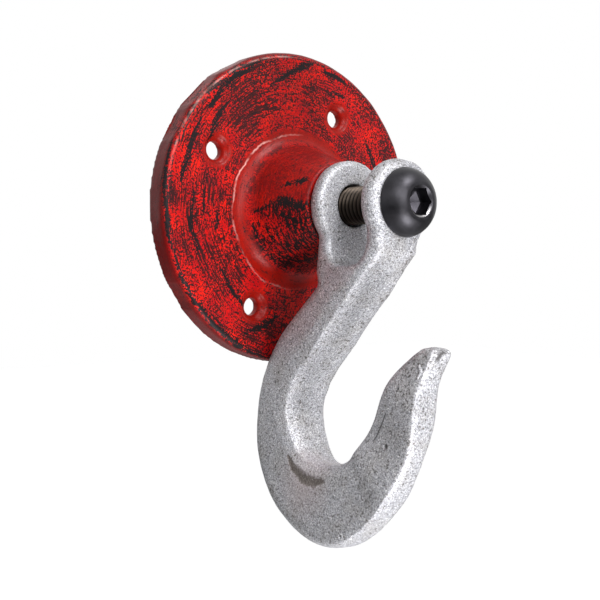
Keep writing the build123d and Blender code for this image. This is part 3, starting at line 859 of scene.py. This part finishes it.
# The crescent is worn to the steel, with an edge that the grain makes ragged. Pits, crack and chip are
# painted dark.
worn = add(tree, "ShaderNodeAttribute", attribute_name="worn_crescent").outputs["Fac"]
worn = add(tree, "ShaderNodeMath", {0: grain, 1: 2.0, 2: worn}, operation="MULTIPLY_ADD")
worn = add(tree, "ShaderNodeMath", {0: specks, 1: 2.0, 2: worn}, operation="MULTIPLY_ADD")
worn = add(tree, "ShaderNodeMapRange", {0: worn, 1: 2.22, 2: 2.62}, interpolation_type="SMOOTHSTEP")
bronze = add(tree, "ShaderNodeMix", {0: tone, 6: linear("#544C48"), 7: linear("#8C837E")},
             data_type="RGBA").outputs[2]
coat = add(tree, "ShaderNodeMix", {0: worn, 6: coat, 7: bronze}, data_type="RGBA").outputs[2]
pitted = add(tree, "ShaderNodeAttribute", attribute_name="pitted").outputs["Fac"]
pitted = add(tree, "ShaderNodeMapRange", {0: pitted, 1: 0.1, 2: 0.6, 3: 0.0, 4: 0.8})
coat = add(tree, "ShaderNodeMix", {0: pitted, 6: coat, 7: linear("#3C3836")}, data_type="RGBA").outputs[2]

tree.links.new(coat, shader.inputs["Base Color"])
shader.inputs["Metallic"].default_value = 0.3
shader.inputs["Roughness"].default_value = 0.45
bump = add(tree, "ShaderNodeBump", {"Strength": 0.9, "Distance": GRAIN_HEIGHT * MM, "Height": grain})
tree.links.new(bump.outputs[0], shader.inputs["Normal"])
hook.data.materials.append(silver)
print("silver paint has", len(tree.nodes), "nodes")

# %% [markdown]
# ## Which piece stands for which solid
# Nothing on this hook moves: the screw clamps the ears to the boss. So all three pieces ride on the root.
# Each one stands in for its solid.

# %% Riding and standing in
for piece, node, slot in ((plate, "wall_plate", "red_paint"), (hook, "clevis_hook", "silver_paint"),
                          (screw, "button_head_screw", "black_oxide_steel")):
    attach(piece, "root")
    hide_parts(node)
    print(piece.name, "stands for", node)

# %% [markdown]
# ## A small studio
# The hook hangs against white. A wide soft lamp in front whitens every face that looks away from the wall,
# and one above it lights the bend and the tops of the ears. Neither stands in the plate's mirror direction,
# so its red is not veiled. A small lamp high on the left lights the boss and the rim from that side; the thin
# pale lines round them are painted highlights. A low lamp lifts the underside of the hook and of the screw's
# head, and one behind shows the back.

# %% Floor, sky and lamps
FLOOR_HEIGHT = -0.7
FLOOR_REACH = 6
FLOOR_GLOW = 0.9
SKY_ON_SURFACES = 0.08

corners = [(FLOOR_REACH * x, FLOOR_REACH * y, FLOOR_HEIGHT) for x, y in ((-1, -1), (1, -1), (1, 1), (-1, 1))]
floor_mesh = bpy.data.meshes.new("floor")
floor_mesh.from_pydata(corners, [], [(0, 1, 2, 3)])
floor = bpy.data.objects.new("floor", floor_mesh)
bpy.context.scene.collection.objects.link(floor)
pale, tree, shader, place = material("pale floor")
shader.inputs["Base Color"].default_value = linear("#F4F4F4")
shader.inputs["Roughness"].default_value = 0.9
seen = add(tree, "ShaderNodeLightPath").outputs["Is Camera Ray"]
glow = add(tree, "ShaderNodeMath", {0: seen, 1: FLOOR_GLOW}, operation="MULTIPLY")
shader.inputs["Emission Color"].default_value = (1, 1, 1, 1)
tree.links.new(glow.outputs[0], shader.inputs["Emission Strength"])
floor_mesh.materials.append(pale)

world = bpy.data.worlds.new("studio")
world.use_nodes = True
tree = world.node_tree
tree.nodes.clear()
rays = add(tree, "ShaderNodeLightPath").outputs
mirrored = add(tree, "ShaderNodeMath", {0: rays["Is Glossy Ray"], 1: rays["Is Transmission Ray"]},
               operation="MAXIMUM")
direct = add(tree, "ShaderNodeMath", {0: rays["Is Camera Ray"], 1: mirrored}, operation="MAXIMUM")
strength = add(tree, "ShaderNodeMapRange", {0: direct, 3: SKY_ON_SURFACES, 4: 1.0})
sky = add(tree, "ShaderNodeBackground", {0: (1, 1, 1, 1), 1: strength})
add(tree, "ShaderNodeOutputWorld", {0: sky})
bpy.context.scene.world = world

# Each lamp has its place and its size in metres, and its power in watts.
LAMPS = (
    ("front left", (-0.32, -1.24, 0.32), 0.7, 7.2),
    ("high left", (-0.70, -0.85, 0.55), 0.3, 3.2),
    ("high front", (0.10, -0.75, 0.95), 0.5, 9.5),
    ("low front", (0.0, -0.60, -0.60), 0.4, 6.8),
    ("behind", (0.30, 1.0, 0.2), 0.5, 9.0),
)
AIM = Vector((0, -0.04, -0.03))
for name, spot, size, watts in LAMPS:
    lamp = bpy.data.objects.new(name, bpy.data.lights.new(name, "AREA"))
    lamp.data.shape = "DISK"
    lamp.data.size = size
    lamp.data.energy = watts
    lamp.location = spot
    lamp.rotation_euler = (AIM - Vector(spot)).to_track_quat("-Z", "Y").to_euler()
    # The lamp behind only lifts the back out of the dark: in a mirror it would glare along the rim.
    lamp.visible_glossy = name != "behind"
    bpy.context.scene.collection.objects.link(lamp)
    print("lamp", name, "at", spot, "of", watts, "W")

# %% [markdown]
# ## The camera
# Circles seen at an angle give the camera away: the plate's rim, the screw's head and the countersinks
# were fitted together. The camera stands 39 degrees to the left and 2 degrees above, about 35 cm away.

# %% Camera
TURN, LIFT = radians(-38.66), radians(1.99)
DISTANCE, SHIFT_RIGHT, SHIFT_UP = 347.2, 6.31, -30.87
LENS = 60.17
back = Vector((sin(TURN) * cos(LIFT), -cos(TURN) * cos(LIFT), sin(LIFT)))
right = Vector((cos(TURN), sin(TURN), 0))
up = back.cross(right)
centre = (back * DISTANCE + right * SHIFT_RIGHT + up * SHIFT_UP) * MM
camera = bpy.data.objects.new("camera", bpy.data.cameras.new("camera"))
camera.data.sensor_fit = "HORIZONTAL"
camera.data.lens = LENS
camera.data.clip_start = 0.01
camera.matrix_world = Matrix((right, up, back)).transposed().to_4x4()
camera.location = centre
bpy.context.scene.collection.objects.link(camera)
bpy.context.scene.camera = camera
bpy.context.scene.view_settings.view_transform = "Standard"
print("camera at", [round(v / MM, 1) for v in centre])
